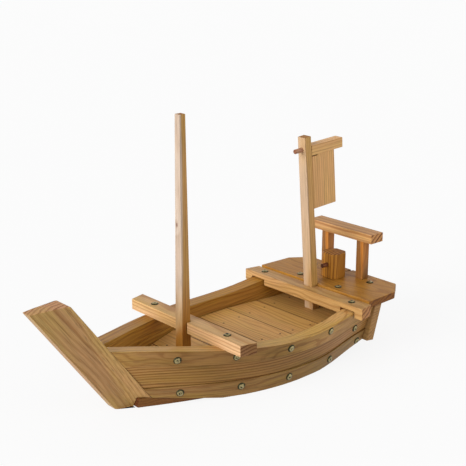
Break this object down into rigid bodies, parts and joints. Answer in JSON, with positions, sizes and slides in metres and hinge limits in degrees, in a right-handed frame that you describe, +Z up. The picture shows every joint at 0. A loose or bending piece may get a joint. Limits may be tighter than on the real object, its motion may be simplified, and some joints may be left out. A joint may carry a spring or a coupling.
{
  "type": "sushi boat",
  "caption": "Planked wooden serving boat for sushi with a raked stem, a floored well between two thwarts, a square mast, a stern deck with rail and bitt, and a hinged signal flag.",
  "frame": {"origin": "middle of the boat's outer box, on the table that the bottom board rests on", "axes": "+Z up, -X to the bow, +X to the stern, -Y to port and +Y to starboard"},
  "size_m": [0.5, 0.21, 0.32],
  "materials": {
    "stem_wood": "clear lacquer, striped end grain on top",
    "bottom_wood": "clear lacquer",
    "strake_wood": "clear semi-gloss lacquer",
    "middle_strake_wood": "clear semi-gloss lacquer, tight straight grain",
    "floor_wood": "clear semi-gloss lacquer",
    "transom_wood": "clear semi-gloss lacquer",
    "deck_wood": "clear semi-gloss lacquer",
    "thwart_wood": "clear semi-gloss lacquer",
    "rail_wood": "clear semi-gloss lacquer",
    "bitt_wood": "clear lacquer over strong dark grain",
    "peg_wood": "dark red-brown stain",
    "tack_brass": "antique, slightly dull",
    "nail_steel": "small dull heads",
    "mast_wood": "clear semi-gloss lacquer",
    "flag_post_wood": "clear semi-gloss lacquer",
    "flag_bar_wood": "clear semi-gloss lacquer",
    "flag_board_wood": "clear lacquer, upright striped grain"
  },
  "bodies": {
    "hull": {"stem_post": "stem_wood", "bottom_board": "bottom_wood", "port_lower_strake": "strake_wood", "port_middle_strake": "middle_strake_wood", "port_upper_strake": "strake_wood", "starboard_lower_strake": "strake_wood", "starboard_middle_strake": "middle_strake_wood", "starboard_upper_strake": "strake_wood", "floor_plank_1": "floor_wood", "floor_plank_2": "floor_wood", "floor_plank_3": "floor_wood", "floor_plank_4": "floor_wood", "floor_plank_5": "floor_wood", "floor_plank_6": "floor_wood", "floor_plank_7": "floor_wood", "floor_bearer_port": "bottom_wood", "floor_bearer_starboard": "bottom_wood", "transom": "transom_wood", "stern_deck": "deck_wood", "mast_thwart": "thwart_wood", "stern_thwart": "thwart_wood", "canopy_rail": "rail_wood", "canopy_post_port": "rail_wood", "canopy_post_starboard": "rail_wood", "bitt_block": "bitt_wood", "bitt_peg": "peg_wood", "hull_tacks_port": "tack_brass", "hull_tacks_starboard": "tack_brass", "mast_thwart_tacks": "tack_brass", "stern_thwart_tacks": "tack_brass", "deck_tacks": "tack_brass", "floor_nails": "nail_steel"},
    "mast": {"mast": "mast_wood"},
    "flag_staff": {"flag_post": "flag_post_wood"},
    "flag": {"flag_peg": "peg_wood", "flag_bar": "flag_bar_wood", "flag_board": "flag_board_wood"}
  },
  "joints": [
    {"name": "mast_lift", "type": "slide", "parent": "hull", "child": "mast", "axis": [0, 0, 1], "range_m": [0, 0.075]},
    {"name": "flag_staff_lift", "type": "slide", "parent": "hull", "child": "flag_staff", "axis": [-0.0898, 0, 0.996], "range_m": [0, 0.06]},
    {"name": "flag_turn", "type": "hinge", "parent": "flag_staff", "child": "flag", "pos_m": [0.15409, 0, 0.252], "axis": [0.9981, 0, 0.061], "range_deg": [-180, 180]}
  ]
}
